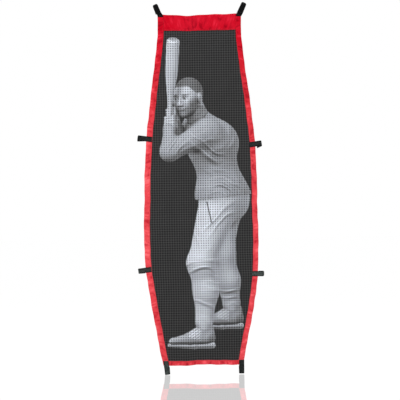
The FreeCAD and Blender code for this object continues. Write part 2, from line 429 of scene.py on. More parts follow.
# The print: a plain mannequin in a batting stance, marched along the view and kept as a grey tone
# for each point of the mesh. Places are across, up from the ground and forwards.
batter = {
    "ground": 1.915,
    "aside": 0.012,
    "hem": 0.868,
    "headTurn": (-32.0, 4.0, -4.0),
    "head": (-0.06, 1.44, 0.06),
    "neck": (0.002, 1.33, 0.012),
    "collarTop": (-0.014, 1.35, 0.026),
    "collarFoot": (0.0, 1.326, 0.018),
    "nearShoulder": (0.046, 1.238, 0.132),
    "farShoulder": (-0.02, 1.272, -0.118),
    "nearElbow": (-0.165, 1.13, 0.2),
    "nearWrist": (-0.163, 1.262, 0.112),
    "nearHand": (-0.16, 1.3, 0.09),
    "farElbow": (-0.075, 1.17, -0.1),
    "farWrist": (-0.138, 1.3, 0.03),
    "farHand": (-0.15, 1.345, 0.07),
    "chest": (0.074, 1.165, 0.01),
    "back": (0.103, 1.18, -0.01),
    "waist": (0.112, 1.0, 0.0),
    "hips": (0.135, 0.885, 0.0),
    "seat": (0.16, 0.85, 0.0),
    "nearHip": (0.12, 0.84, 0.085),
    "farHip": (0.135, 0.85, -0.08),
    "nearKnee": (0.006, 0.49, 0.15),
    "nearCalf": (0.03, 0.33, 0.125),
    "nearCuff": (0.018, 0.155, 0.112),
    "nearFoot": (0.013, 0.0, 0.11),
    "farKnee": (0.128, 0.56, -0.09),
    "farCalf": (0.158, 0.39, -0.12),
    "farCuff": (0.174, 0.262, -0.148),
    "farFoot": (0.172, 0.11, -0.15),
    "batKnob": (-0.17, 1.225, 0.085),
    "batTip": (-0.138, 1.775, 0.26),
}
body = {name: np.array(place, float) for name, place in batter.items() if isinstance(place, tuple)}


def unit(v):
    return np.asarray(v, float) / np.linalg.norm(v)


# Distance to a tapered limb; flat stretches it in depth
def limb(p, a, b, ra, rb, flat=1.0):
    squeeze = np.array([1.0, 1.0, 1.0 / flat])
    a, b = (body[e] if isinstance(e, str) else np.array(e, float) for e in (a, b))
    q, a, b = p * squeeze, a * squeeze, b * squeeze
    axis = b - a
    t = clipped((q - a) @ axis / max(axis @ axis, 1e-12))
    away = np.sqrt(((q - a - t[:, None] * axis) ** 2).sum(1))
    return (away - (ra + (rb - ra) * (0.5 * t + 0.5 * t * t * (3 - 2 * t)))) * min(1.0, flat)


def limbs(p, *rows):
    return [limb(p, *row) for row in rows]


def ball(p, centre, radii):
    q = (p - np.array(centre)) / np.array(radii)
    k0, k1 = np.sqrt((q * q).sum(1)), np.sqrt(((q / np.array(radii)) ** 2).sum(1))
    return k0 * (k0 - 1) / np.maximum(k1, 1e-9)


# The same ball on the left and on the right
def pair(p, centre, radii):
    return [ball(p, (side * centre[0], *centre[1:]), radii) for side in (-1, 1)]


def joined(blend, total, *distances):
    for d in distances:
        h = clipped(0.5 + 0.5 * (d - total) / blend)
        total = d * (1 - h) + total * h - blend * h * (1 - h)
    return total


def turned(a, b, angle):
    return a * math.cos(angle) + b * math.sin(angle), b * math.cos(angle) - a * math.sin(angle)


def merged(blend, p, *rows):
    return joined(blend, *limbs(p, *rows))


# In the head's own axes: across, up to the crown, out along the nose
def headPoints(p):
    yaw, roll, pitch = np.radians(batter["headTurn"])
    across, up, nose = np.eye(3)
    nose, across = turned(nose, across, yaw)
    nose, up = turned(nose, up, pitch)
    across, up = turned(across, up, roll)
    return (p - body["head"]) @ np.stack([across, up, nose], 1)


# A calm mannequin's head: eyes half way down, nose and mouth on thirds
def headShape(q):
    masses = [
        ball(q, (0, 0.028, -0.022), (0.074, 0.086, 0.094)),
        ball(q, (0, -0.02, 0.018), (0.06, 0.078, 0.066)),
        ball(q, (0, -0.066, 0.026), (0.044, 0.04, 0.05)),
        ball(q, (0, -0.094, 0.058), (0.02, 0.017, 0.018)),
    ]
    skin = joined(0.03, *masses, *pair(q, (0.038, -0.022, 0.052), (0.024, 0.022, 0.024)))
    skin = joined(0.012, skin, limb(q, (-0.034, 0.018, 0.066), (0.034, 0.018, 0.066), 0.012, 0.012))
    for socket in pair(q, (0.03, 0.0, 0.09), (0.019, 0.012, 0.016)):
        h = clipped(0.5 - 0.5 * (skin + socket) / 0.01)
        skin = skin * (1 - h) - socket * h + 0.01 * h * (1 - h)
    skin = joined(0.003, skin, *pair(q, (0.03, -0.001, 0.067), (0.0135, 0.012, 0.0135)))
    nose = limb(q, (0, 0.006, 0.078), (0, -0.032, 0.098), 0.008, 0.0125)
    skin = joined(0.008, skin, nose, *pair(q, (0.011, -0.036, 0.088), (0.009, 0.008, 0.011)))
    skin = joined(0.007, skin, ball(q, (0, -0.062, 0.08), (0.023, 0.008, 0.01)))
    return joined(0.006, skin, *pair(q, (0.075, -0.012, -0.012), (0.01, 0.031, 0.019)))


def handsShape(p):
    grip = []
    for name in ("nearHand", "farHand"):
        c = body[name]
        for low in (-0.028, -0.009, 0.01, 0.029):
            ends = (c + [-0.024, low - 0.006, 0.024], c + [0.016, low + 0.004, 0.036])
            grip.append(limb(p, *ends, 0.01, 0.012))
        grip += limbs(p, (c + [0.026, -0.03, 0.004], c + [0.018, 0.03, 0.022], 0.019, 0.014),
                      (c + [0.014, -0.012, -0.006], c + [0.008, 0.012, 0.0], 0.028, 0.024))
    wrists = limbs(p, ("nearWrist", "nearHand", 0.03, 0.028), ("farWrist", "farHand", 0.03, 0.028))
    return joined(0.012, joined(0.009, *grip), *wrists)


def batShape(p):
    knob, tip = body["batKnob"], body["batTip"]
    length = np.linalg.norm(tip - knob)
    along = (p - knob) @ unit(tip - knob)
    away = np.sqrt(np.maximum(((p - knob) ** 2).sum(1) - along**2, 0))
    share = clipped(along / length)
    radius = 0.0135 + 0.0215 * smooth(share, 0.3, 0.72) + 0.01 * clipped(1 - share / 0.035)
    radius = radius - 0.006 * clipped((share - 0.975) / 0.025) ** 2
    return np.maximum((away - radius) * 0.9, np.abs(along - length / 2) - length / 2)


def hemLine(p, height):
    return height - p[:, 1] + 0.1 * (p[:, 0] - 0.13)


def sweatshirtShape(p):
    trunk = merged(
        0.06,
        p,
        ("chest", "waist", 0.134, 0.104, 1.15),
        ("back", "chest", 0.116, 0.118, 1.2),
        ("waist", "hips", 0.104, 0.13, 1.15),
        ("hips", "seat", 0.131, 0.134, 1.15),
        ((0.118, 0.88, 0.085), (0.13, 0.88, -0.08), 0.126, 0.122),
        ("nearShoulder", "farShoulder", 0.072, 0.07),
        ("neck", "back", 0.052, 0.08),
    )
    trunk = np.maximum(trunk, hemLine(p, batter["hem"]))
    near = merged(0.03, p, ("nearShoulder", "nearElbow", 0.071, 0.05),
                  ("nearElbow", "nearWrist", 0.05, 0.033))
    far = merged(0.03, p, ("farShoulder", "farElbow", 0.07, 0.05),
                 ("farElbow", "farWrist", 0.048, 0.033))
    cuff = limb(p, (-0.163, 1.246, 0.122), (-0.163, 1.272, 0.105), 0.034, 0.034)
    collar = limb(p, "collarTop", "collarFoot", 0.057, 0.06)
    return joined(0.012, joined(0.035, trunk, near), far, cuff, collar)


def joggersShape(p):
    top = merged(0.05, p, ("hips", "seat", 0.122, 0.126, 1.15),
                 ("waist", "hips", 0.108, 0.12, 1.15))
    legs = []
    for side, knee, calf in (("near", 0.073, 0.066), ("far", 0.07, 0.062)):
        joints = [side + name for name in ("Hip", "Knee", "Calf", "Cuff")]
        widths = (0.112, knee, calf, 0.049)
        leg = merged(0.04, p, *zip(joints, joints[1:], widths, widths[1:]))
        cuff = limb(p, body[side + "Cuff"], body[side + "Cuff"] - [0.002, 0.032, 0.0], 0.046, 0.043)
        legs.append(joined(0.012, joined(0.05, top, leg), cuff))
    return np.maximum(joined(0.012, *legs), p[:, 1] - batter["hem"] - 0.037)


def shoeShapes(p, side):
    q = p - body[side + "Foot"]
    q[:, 2] += 0.25 * q[:, 0]
    upper = merged(
        0.022,
        q,
        ((0.02, 0.058, 0.0), (-0.06, 0.055, 0.0), 0.045, 0.042),
        ((-0.06, 0.052, 0.0), (-0.168, 0.037, 0.004), 0.041, 0.027),
        ((0.008, 0.105, 0.0), (-0.03, 0.085, 0.0), 0.041, 0.036),
        ((0.04, 0.115, 0.0), (0.03, 0.07, 0.0), 0.02, 0.036),
    )
    sole = merged(
        0.012,
        q,
        ((0.052, 0.02, 0.0), (-0.05, 0.016, 0.0), 0.018, 0.015, 2.1),
        ((-0.05, 0.016, 0.0), (-0.19, 0.021, 0.004), 0.015, 0.01, 2.4),
    )
    return [upper, sole]


def sockShape(p):
    low, high = [0.008, 0.075, 0.0], [0.0, 0.03, 0.0]
    cuffs = [body[name] for name in ("nearCuff", "farCuff")]
    return np.minimum(*[limb(p, cuff - high, cuff - low, 0.037, 0.036) for cuff in cuffs])


partTones = {
    "head": 0.5, "neck": 0.42, "hands": 0.5, "top": 0.34, "joggers": 0.55, "nearShoe": 0.36,
    "nearSole": 0.68, "farShoe": 0.36, "farSole": 0.68, "bat": 0.66, "socks": 0.1,
}
partNumber = {name: number for number, name in enumerate(partTones)}


# A row of distances for each part
def partDistances(p):
    neck = merged(0.03, p, ((-0.04, 1.39, 0.022), (0.0, 1.318, 0.004), 0.05, 0.056),
                  ((-0.014, 1.4, 0.01), (0.006, 1.335, 0.0), 0.04, 0.048))
    head = joined(0.012, headShape(headPoints(p)), neck)
    rows = [head, neck + 0.001, handsShape(p), sweatshirtShape(p), joggersShape(p)]
    rows += shoeShapes(p, "near") + shoeShapes(p, "far") + [batShape(p), sockShape(p)]
    return np.stack(rows)


# A fan of cloth folds around a place
def creases(x, h, centre, angle, reach, spacing, depth, seed):
    u, v = turned(x - centre[0], h - centre[1], math.radians(angle))
    fan = v / (1 + 1.1 * clipped(u / reach[0], -0.35, 1.5) ** 2)
    warp = 0.6 * noise(u / 0.13 + 3, v / 0.09 + 7, seed)
    warp = warp + 0.16 * noise(u / 0.05, v / 0.06, seed + 1)
    ridges = (0.5 + 0.5 * np.cos(2 * np.pi * (fan / spacing + warp))) ** 2.2
    patchy = clipped(0.4 + 0.9 * noise(u / 0.1 + 9, v / 0.03 + 2, seed + 2))
    return depth * np.exp(-((u / reach[0]) ** 2) - (v / reach[1]) ** 2) * patchy * ridges


# Place, angle, reach, spacing and depth of each fan
folds = {
    "top": [
        ((-0.135, 1.16), 50, (0.09, 0.05), 0.046, 0.011),
        ((0.01, 1.185), 20, (0.12, 0.07), 0.06, 0.01),
        ((0.07, 1.09), -38, (0.16, 0.07), 0.06, 0.013),
        ((0.14, 0.965), -16, (0.15, 0.07), 0.044, 0.012),
        ((0.15, 1.2), 62, (0.1, 0.08), 0.08, 0.007),
    ],
    "joggers": [
        ((0.006, 0.49), 10, (0.1, 0.06), 0.044, 0.012),
        ((0.028, 0.24), -14, (0.08, 0.08), 0.05, 0.009),
        ((0.09, 0.78), 52, (0.12, 0.08), 0.07, 0.009),
        ((0.16, 0.35), 12, (0.08, 0.09), 0.046, 0.009),
        ((0.05, 0.64), -76, (0.14, 0.06), 0.08, 0.006),
    ],
}


def foldHeight(x, h, part):
    total = 0.002 * noise(x / 0.07 + 20, h / 0.11, 31) + 0.0005 * noise(x / 0.04, h / 0.06 + 5, 32)
    total = total * np.isin(part, [partNumber[name] for name in folds])
    seed = 1
    for name, fans in folds.items():
        for fan in fans:
            total = total + (part == partNumber[name]) * creases(x, h, *fan, seed)
            seed += 3
    ribbed = (part == partNumber["top"]) & (hemLine(np.stack([x, h], 1), batter["hem"] + 0.032) > 0)
    return total + ribbed * 0.0005 * np.sin(x * 2 * np.pi / 0.0207)


def spot(q, cx, cy, rx, ry, soft=0.35):
    r = np.sqrt(((q[:, 0] - cx) / rx) ** 2 + ((q[:, 1] - cy) / ry) ** 2)
    return clipped((1 + soft - r) / (2 * soft)) * (q[:, 2] > 0.03)


# Short hair, a short beard, and plain brows, eyes and mouth
def paintFace(q, tone):
    x, y, z = q.T
    wide = np.abs(x)
    line = 0.062 - 0.9 * clipped(wide - 0.045) - 0.62 * clipped(0.05 - z)
    nape = clipped((-0.002 - z) / 0.01) * clipped((y + 0.04) / 0.02)
    hair = np.maximum(clipped((y - line) / 0.008), nape)
    hair = np.where((wide > 0.07) & (y < 0.022) & (z < 0.012) & (z > -0.034), 0, hair)
    tone = tone * (1 - hair) + (0.13 + 0.16 * clipped((0.06 - y) / 0.07)) * hair
    jaw = clipped((-0.046 - y - 0.2 * clipped(0.03 - wide)) / 0.014)
    side = clipped((wide - 0.046) / 0.012) * clipped((0.01 - y) / 0.03) * (z > -0.005)
    beard = np.maximum(np.maximum(jaw, side) * 0.85, 0.7 * spot(q, 0, -0.0475, 0.024, 0.004))
    tone = tone * (1 - 0.52 * beard)
    ear = np.exp(-(((y + 0.01) / 0.013) ** 2) - ((z + 0.01) / 0.008) ** 2) * (wide > 0.074)
    tone = tone * (1 - 0.45 * ear)
    # Tone, strength, place, size and softness
    dabs = [(0.36, 1.0, 0, -0.062, 0.022, 0.006), (0.0, 0.45, 0, -0.062, 0.023, 0.0018)]
    for s in (-1, 1):
        dabs += [
            (0.0, 0.3, s * 0.03, 0.0005, 0.0175, 0.0085),
            (0.58, 1.0, s * 0.03, -0.001, 0.013, 0.0046, 0.25),
            (0.07, 1.0, s * 0.03, -0.0005, 0.0056, 0.0054, 0.25),
            (0.0, 0.6, s * 0.03, 0.0048, 0.016, 0.002),
            (0.0, 0.62, s * 0.031, 0.019, 0.019, 0.0042),
            (0.0, 0.35, s * 0.0085, -0.0425, 0.0045, 0.0026),
        ]
    for grey, strength, *place in dabs:
        share = strength * spot(q, *place)
        tone = tone * (1 - share) + grey * share
    return tone


def partTone(p, part, normal):
    tone = np.array(list(partTones.values()))[part]
    x, h = p[:, 0], p[:, 1]
    on = {name: part == number for name, number in partNumber.items()}
    for side in ("near", "far"):
        fx, fh = x - body[side + "Foot"][0], h - body[side + "Foot"][1]
        shoe = on[side + "Shoe"]
        bars = np.abs(np.sin((fh - 0.7 * fx) * 2 * np.pi / 0.034)) > 0.8
        laces = (np.abs(fx + 0.045) < 0.034) & bars
        tone[shoe & laces & (fh > 0.055 - 0.3 * (fx + 0.045))] = 0.66
        tone[shoe & (fx > 0.03) & (fh < 0.075 + 0.4 * (fx - 0.03))] = 0.28
        tone[shoe & ((fx + 0.105) ** 2 + (fh - 0.02) ** 2 > 0.0062) & (fx < -0.105)] = 0.44
        tone[shoe & (fh < 0.034 - 0.03 * fx)] = 0.16
    collar = (p - body["collarFoot"]) @ unit(body["collarTop"] - body["collarFoot"])
    close = on["top"] & (np.linalg.norm(p - body["collarFoot"], axis=1) < 0.085)
    tone[close & (collar > 0.004)] = 0.24
    tone[close & (np.abs(collar - 0.004) < 0.0025)] = 0.12
    pocket = np.abs((x - 0.06) + 0.22 * (h - 0.78)) < 0.0035
    tone[on["joggers"] & pocket & (np.abs(h - 0.78) < 0.062)] = 0.1
    tone[on["bat"] & (normal @ unit(body["batTip"] - body["batKnob"]) > 0.8)] = 0.3
    tone[on["head"]] = paintFace(headPoints(p[on["head"]]), tone[on["head"]])
    return tone


ink = {"ground": 0.0335, "darkest": 0.6, "strength": 1.07}
march = {"start": 0.42, "end": -0.35, "steps": 46, "touch": 0.0008, "stride": 0.0025}


# Linear grey of the print, and the part of the batter, at places on the panel
def printTones(x, drop):
    tones, parts = np.full(len(x), ink["ground"]), np.full(len(x), -1)
    rows = np.flatnonzero(np.abs(x) < 0.3)
    start = np.full(len(rows), march["start"])
    p = np.stack([x[rows] + batter["aside"], batter["ground"] - drop[rows], start], 1)
    part = np.full(len(rows), -1)
    alive = np.arange(len(rows))
    for _ in range(march["steps"]):
        d = partDistances(p[alive])
        near = d.min(0)
        hit = near < march["touch"]
        part[alive[hit]] = d[:, hit].argmin(0)
        p[alive, 2] -= np.where(hit, 0.0, np.maximum(near * 0.9, march["stride"]))
        alive = alive[~hit & (p[alive, 2] > march["end"])]
        if not len(alive):
            break
    hit = part >= 0
    tones[rows[hit]], parts[rows] = shadedTones(p[hit], part[hit]), part
    return np.maximum(tones, ink["darkest"] * ink["ground"]), parts


def shadedTones(p, part):
    n, step, reach = np.arange(len(p)), 0.0012, 0.003
    slopes = [partDistances(p + away) - partDistances(p - away) for away in step * np.eye(3)]
    normal = np.stack([slope[part, n] for slope in slopes], 1)
    normal /= np.maximum(np.linalg.norm(normal, axis=1), 1e-9)[:, None]
    x, h = p[:, 0], p[:, 1]
    sides = ((reach, 0), (-reach, 0), (0, reach), (0, -reach), (0, 0))
    right, left, above, below, here = (foldHeight(x + dx, h + dh, part) for dx, dh in sides)
    bumped = normal - np.stack([right - left, above - below, 0 * x], 1) / (2 * reach)
    bumped /= np.linalg.norm(bumped, axis=1)[:, None]

    def facing(*lamp):
        return clipped(bumped @ unit(lamp))

    hollow = (right + left + above + below - 4 * here) / reach**2
    clear = sum(share * clipped(partDistances(p + normal * away).min(0) / away)
                for away, share in ((0.012, 0.2), (0.03, 0.25), (0.06, 0.3), (0.1, 0.25)))
    lamps = 0.74 * facing(-0.55, 0.55, 0.8) + 0.26 * facing(0.75, 0.25, 0.6)
    sky = clipped(0.3 + 0.22 * bumped[:, 1] + 0.12 * bumped[:, 2], 0.05, 1)
    rim = clipped(1 - np.abs(normal[:, 2])) ** 3
    light = lamps * (0.3 + 0.7 * clear) + sky * (0.15 + 0.85 * clear**1.5) + 0.3 * rim * clear
    light = light * (1 - clipped(hollow / 420.0, -0.08, 0.45))
    light = light * (0.8 + 0.2 * smooth(p[:, 2], -0.14, 0.06))
    gloss = facing(-0.3, 0.5, 1.0)
    skin = part <= partNumber["hands"]
    shine = 0.2 * gloss**20 * (part == partNumber["bat"]) + 0.06 * gloss**12 * skin
    return ink["strength"] * (partTone(p, part, normal) * light + shine)


meshCloth = {"pitch": 0.0138, "hole": 0.0038, "hem": 0.004, "sink": 0.0004, "pointsPerCell": 4}


# Tones on a grid; the ones on an outline take the mean of places round them
def softenedTones(x, drop, used):
    flat = np.flatnonzero(used)
    tones, parts = np.zeros(x.size), np.full(x.size, -1)
    tones[flat], parts[flat] = printTones(x.ravel()[flat], drop.ravel()[flat])
    grid, shade = parts.reshape(x.shape), tones.reshape(x.shape)
    outline = np.zeros(x.shape, bool)
    for axis in (0, 1):
        for shift in (-1, 1):
            outline |= np.roll(grid, shift, axis) != grid
            outline |= np.abs(np.roll(shade, shift, axis) - shade) > 0.1
    chosen = np.flatnonzero(outline & used)
    reach = 0.3 * (meshCloth["pitch"] - meshCloth["hole"]) / (meshCloth["pointsPerCell"] - 1)
    total = tones[chosen].copy()
    for dx, dz in ((-1, -0.4), (0.4, -1), (1, 0.4), (-0.4, 1)):
        total += printTones(x.ravel()[chosen] + dx * reach, drop.ravel()[chosen] + dz * reach)[0]
    tones[chosen] = total / 5
    return tones


# Flat strands with a square hole in each cell, its rim drawn back
def printedMesh():
    pitch, hole, hem, count = (meshCloth[key] for key in ("pitch", "hole", "hem", "pointsPerCell"))
    steps = hole / 2 + np.append(-hole, np.arange(count - 1) * (pitch - hole) / (count - 1))
    columns, rows = math.ceil(edgeHalf.max() / pitch), math.ceil(panelHeight / pitch)
    xs = (np.arange(-columns, columns + 1)[:, None] * pitch + steps).ravel()
    drops = (np.arange(0, rows + 1)[:, None] * pitch + steps).ravel()
    inPanel = np.flatnonzero((drops > hem) & (drops < panelHeight - hem))
    gx, gd = np.meshgrid(xs, drops[inPanel])
    limit = halfWidth(gd) - hem
    x = clipped(gx, -limit, limit)
    phaseC, phaseR = np.meshgrid(np.arange(len(xs)) % count, inPanel % count)
    pit = (phaseC < 2) & (phaseR < 2)
    strand = ((phaseC >= 2).astype(float) + (phaseR >= 2)) / 2
    y = layers["mesh"] + meshCloth["sink"] * np.where(pit, 1.0, np.where(strand > 0.9, -0.5, 0.0))
    points = hang(np.stack([x.ravel(), y.ravel(), -gd.ravel()], 1))
    faces = gridFaces(len(inPanel), len(xs))
    a, b, c, d = np.stack([x.ravel()[faces], gd.ravel()[faces]], 2).transpose(1, 2, 0)
    leans = (c - a)[0] * (d - b)[1] - (d - b)[0] * (c - a)[1]
    wide = np.abs(leans) > 1e-8  # not closed up at the panel's edge
    corner = faces[:, 0]
    holed = (phaseC.ravel()[corner] == 0) & (phaseR.ravel()[corner] == 0)
    inside = np.abs(x.ravel()[faces]).max(1) < limit.ravel()[corner] - 0.002
    faces = faces[wide & ~(holed & inside)]
    used, faces = np.unique(faces, return_inverse=True)
    onCloth = np.isin(np.arange(x.size), used).reshape(x.shape)
    tones = softenedTones(x, gd, onCloth)
    grids = {"tone": tones, "pit": pit, "strand": strand, "along": gd, "across": x}
    values = {key: grid.ravel()[used] for key, grid in grids.items()}
    return meshPiece("printed_mesh", points[used], faces.reshape(-1, 4), "mesh", values, False)


backing = {"margin": 0.003, "thickness": 0.0003, "points": (170, 61)}


# Woven cloth with two faces, which lies flat under the bindings
def backingSheet():
    margin, shape = backing["margin"], backing["points"]
    drops = np.linspace(margin, panelHeight - margin, shape[0])
    gd, gs = np.meshgrid(drops, np.linspace(-1, 1, shape[1]), indexing="ij")
    x = gs * (halfWidth(gd) - margin)
    free = smooth(halfWidth(gd) - np.abs(x), 0.036, 0.046) * smooth(gd, 0.096, 0.115)
    free = free * smooth(panelHeight - gd, 0.03, 0.045)
    ripple = 0.0003 * noise(x / 0.03, gd / 0.05, 41) * free
    front = np.stack([x, layers["backing"] + ripple, -gd], 2).reshape(-1, 3)
    points = hang(np.concatenate([front, front + [0, backing["thickness"], 0]]))
    count = len(front)
    index = np.arange(count).reshape(shape)
    rim = np.concatenate([index[0], index[1:, -1], index[-1, -2::-1], index[-2:0:-1, 0]])
    sheet = [tuple(f) for f in gridFaces(*shape)]
    back = [tuple(i + count for i in f[::-1]) for f in sheet]
    walls = [(a, b, b + count, a + count) for a, b in zip(rim, np.roll(rim, -1))]
    values = {key: np.tile(run.ravel(), 2) for key, run in {"along": gd, "across": x}.items()}
    values["rim"] = np.zeros(2 * count)
    return meshPiece("backing_sheet", points, sheet + back + walls, "backing", values)


netPiece = printedMesh()
print("mesh and its print made")
backingPiece = backingSheet()


# A geometry node tree and its inputs by name
def newTree(name, sockets):
    tree = bpy.data.node_groups.new(name, "GeometryNodeTree")
    tree.interface.new_socket(name="Geometry", in_out="OUTPUT", socket_type="NodeSocketGeometry")
    for label, value in {"Geometry": None, **sockets, "Material": None}.items():
        kind = "NodeSocket" + {float: "Float", int: "Int"}.get(type(value), label)
        socket = tree.interface.new_socket(name=label, in_out="INPUT", socket_type=kind)
        if value is not None:
            socket.default_value = value
    return tree, {s.name: Flow(s) for s in addNode(tree, "GroupInput").outputs if s.name}


def finishTree(tree, given, geometry):
    real = made(tree, "RealizeInstances", {"Geometry": geometry})
    rounded = made(tree, "SetShadeSmooth", {"Geometry": real})
    done = made(tree, "SetMaterial", {"Geometry": rounded, "Material": given["Material"]})
    addNode(tree, "GroupOutput", {"Geometry": done})
    return tree


# Each stitch is a short thread that dips into the cloth at its ends
def stitchTree():
    tree, given = newTree("Lockstitches", {"Spacing": 0.004, "Radius": 0.0004})
    line = made(tree, "MeshToCurve", {"Mesh": given["Geometry"]})
    line = made(tree, "ResampleCurve", {"Curve": line, "Length": given["Spacing"]}, mode="LENGTH")
    bead = made(tree, "MeshUVSphere", {"Segments": 6, "Rings": 5, "Radius": 1.0})
    tangent = made(tree, "InputTangent")
    turn = made(tree, "AlignRotationToVector", {"Vector": tangent}, axis="Z")
    radius = given["Radius"]
    size = made(tree, "CombineXYZ", {0: radius, 1: radius, 2: given["Spacing"] * 0.44})
    inputs = {"Points": line, "Instance": bead, "Rotation": turn, "Scale": size}
    return finishTree(tree, given, made(tree, "InstanceOnPoints", inputs))


# Curved bristles on the faces marked as pile: hooks or a tangle of loops
def pileTree():
    tree, given = newTree("Pile", {
        "Density": 400000.0, "Height": 0.0008, "Sweep": 3.9,
        "Tilt": 0.2, "Thickness": 0.00009, "Seed": 1})
    marked = made(tree, "InputNamedAttribute", {"Name": "pile"}, data_type="FLOAT")
    inputs = {"Mesh": given["Geometry"], "Selection": marked.maths("GREATER_THAN", 0.9)}
    inputs.update((key, given[key]) for key in ("Density", "Seed"))
    spread = addNode(tree, "DistributePointsOnFaces", inputs, distribute_method="RANDOM").outputs
    radius = given["Height"] * 0.5
    inputs = {"Radius": radius, "Start Angle": -0.5 * math.pi, "Sweep Angle": given["Sweep"]}
    arc = made(tree, "CurveArc", {"Resolution": 7, **inputs}, mode="RADIUS")
    lift = made(tree, "CombineXYZ", {2: radius})
    inputs = {"Geometry": arc, "Translation": lift, "Rotation": (0.5 * math.pi, 0.0, 0.0)}
    stood = made(tree, "Transform", inputs)
    profile = made(tree, "CurvePrimitiveCircle", {"Resolution": 3, "Radius": given["Thickness"]})
    bristle = made(tree, "CurveToMesh", {"Curve": stood, "Profile Curve": profile})

    def anyTurn(*most):
        inputs = {"Min": tuple(-angle for angle in most), "Max": most, "Seed": given["Seed"]}
        return made(tree, "RandomValue", inputs, data_type="FLOAT_VECTOR")

    spin, lean = anyTurn(0.0, 0.0, math.pi), anyTurn(1.0, 1.0, 0.0)
    lean = made(tree, "VectorMath", {0: lean, "Scale": given["Tilt"]}, operation="SCALE")
    whole = made(tree, "VectorMath", {0: spin, 1: lean}, operation="ADD")
    inputs = {"Rotation": Flow(spread["Rotation"]), "Rotate By": whole}
    facing = made(tree, "RotateRotation", inputs, rotation_space="LOCAL")
    inputs = {"Points": Flow(spread[0]), "Instance": bristle, "Rotation": facing}
    placed = made(tree, "InstanceOnPoints", inputs)
    both = addNode(tree, "JoinGeometry")
    for part in (placed, given["Geometry"]):
        tree.links.new(part.socket, both.inputs[0])
    return finishTree(tree, given, Flow(both.outputs[0]))


trees = {"stitches": stitchTree(), "pile": pileTree()}


# The piece's mesh becomes what the tree makes of it
def grown(piece, tree, values):
    modifier = piece.modifiers.new("grow", "NODES")
    modifier.node_group = tree
    for item in tree.interface.items_tree:
        if item.in_out == "INPUT" and item.name in values:
            modifier[item.identifier] = values[item.name]
    seen = piece.evaluated_get(bpy.context.evaluated_depsgraph_get())
    mesh = bpy.data.meshes.new_from_object(seen)
    piece.modifiers.remove(modifier)
    piece.data = mesh
    return piece


# Stitches along polylines, all on one body
def stitching(name, lines, body, thread, spacing, radius, slot):
    points, edges = [], []
    for line in lines:
        edges += [(len(points) + k, len(points) + k + 1) for k in range(len(line) - 1)]
        points += [tuple(p) for p in line]
    mesh = bpy.data.meshes.new(name)
    mesh.from_pydata(points, edges, [])
    values = {"Spacing": spacing, "Radius": radius, "Material": materials[thread]}
    piece = grown(linked(name, mesh), trees["stitches"], values)
    seat(piece, body, slot)
    return piece


webbing = {
    "width": 0.03,
    "thickness": 0.0016,
    "foldRadius": 0.0023,
    "outerFace": 0.00315,
    "patch": 0.026,
    "margin": 0.005,
    "flapStart": 0.009,
}
# Length of the sewn base, round of the tip's corners, the flap's offset and skew beside the
# leg, how far the loop stands open, and the painted light on the webbing
lookNames = ("base", "tip", "offset", "skew", "bow", "lit")
strapLooks = {
    "top_left": (0.014, 0.01, 0.0, 0.05, 0.0003, 0.0),
    "top_right": (0.014, 0.01, 0.0, -0.05, 0.0002, 0.0),
    "upper_left": (0.033, 0.006, 0.006, -0.14, 0.0003, 0.14),
    "upper_right": (0.033, 0.004, -0.004, -0.26, 0.0002, 0.18),
    "lower_left": (0.033, 0.004, 0.0, 0.06, 0.0002, 0.36),
    "lower_right": (0.033, 0.008, 0.0015, 0.0, 0.0003, 0.7),
    "bottom_left": (0.026, 0.004, 0.0, 0.04, 0.0002, 0.5),
    "bottom_right": (0.026, 0.005, 0.0, -0.04, 0.0003, 0.18),
}


# A strap's places, directions and lengths, from its two hinges
def strapFrame(name, look):
    joints = {j["name"]: j for j in frame["joints"]}
    swing, close = joints[name + "_swing"], joints[name + "_closure"]
    strap = SimpleNamespace(**dict(zip(lookNames, look)))
    strap.swing, strap.close = np.array(swing["pos_m"]), np.array(close["pos_m"])
    strap.normal = np.array([swing["axis"][2], 0.0, -swing["axis"][0]])
    strap.along = np.array([-close["axis"][2], 0.0, close["axis"][0]])
    strap.across = -np.array(close["axis"], float)
    strap.root = strap.swing * [1, 0, 1] - 0.002 * strap.normal
    strap.fold = float((strap.close - strap.root) @ strap.along)
    strap.cosine, strap.sine = float(strap.along @ strap.normal), float(strap.across @ strap.normal)
    strap.start = webbing["flapStart"] / strap.cosine
    return strap


straps = {name: strapFrame(name, look) for name, look in strapLooks.items()}


# 1 where a strap's base holds the cloth down
def pressed(points):
    share = np.zeros(len(points))
    for strap in straps.values():
        away = points - strap.root
        inward, sideways = -(away @ strap.normal), np.abs(away @ strap.across)
        near = smooth(strap.base + 0.01 - inward, 0, 0.01) * smooth(0.024 - sideways, 0, 0.008)
        share = np.maximum(share, near)
    return share


# Puckers of sewn taffeta, from -1 to 1
def rumpled(s, a, seed):
    slant = s + 0.35 * a * np.sin(s / 0.11 + seed)
    fine = noise(slant / 0.008, a / 0.03 + 5, seed)
    middle = noise(slant / 0.021, a / 0.04, seed + 1)
    broad = noise(s / 0.062, a / 0.06, seed + 2)
    creaseShading = (1 - np.abs(noise(slant / 0.026 + 3, a / 0.05, seed + 3))) ** 5
    return clipped(0.55 * fine + 0.42 * middle + 0.36 * broad - 0.7 * creaseShading + 0.12, -1, 1)


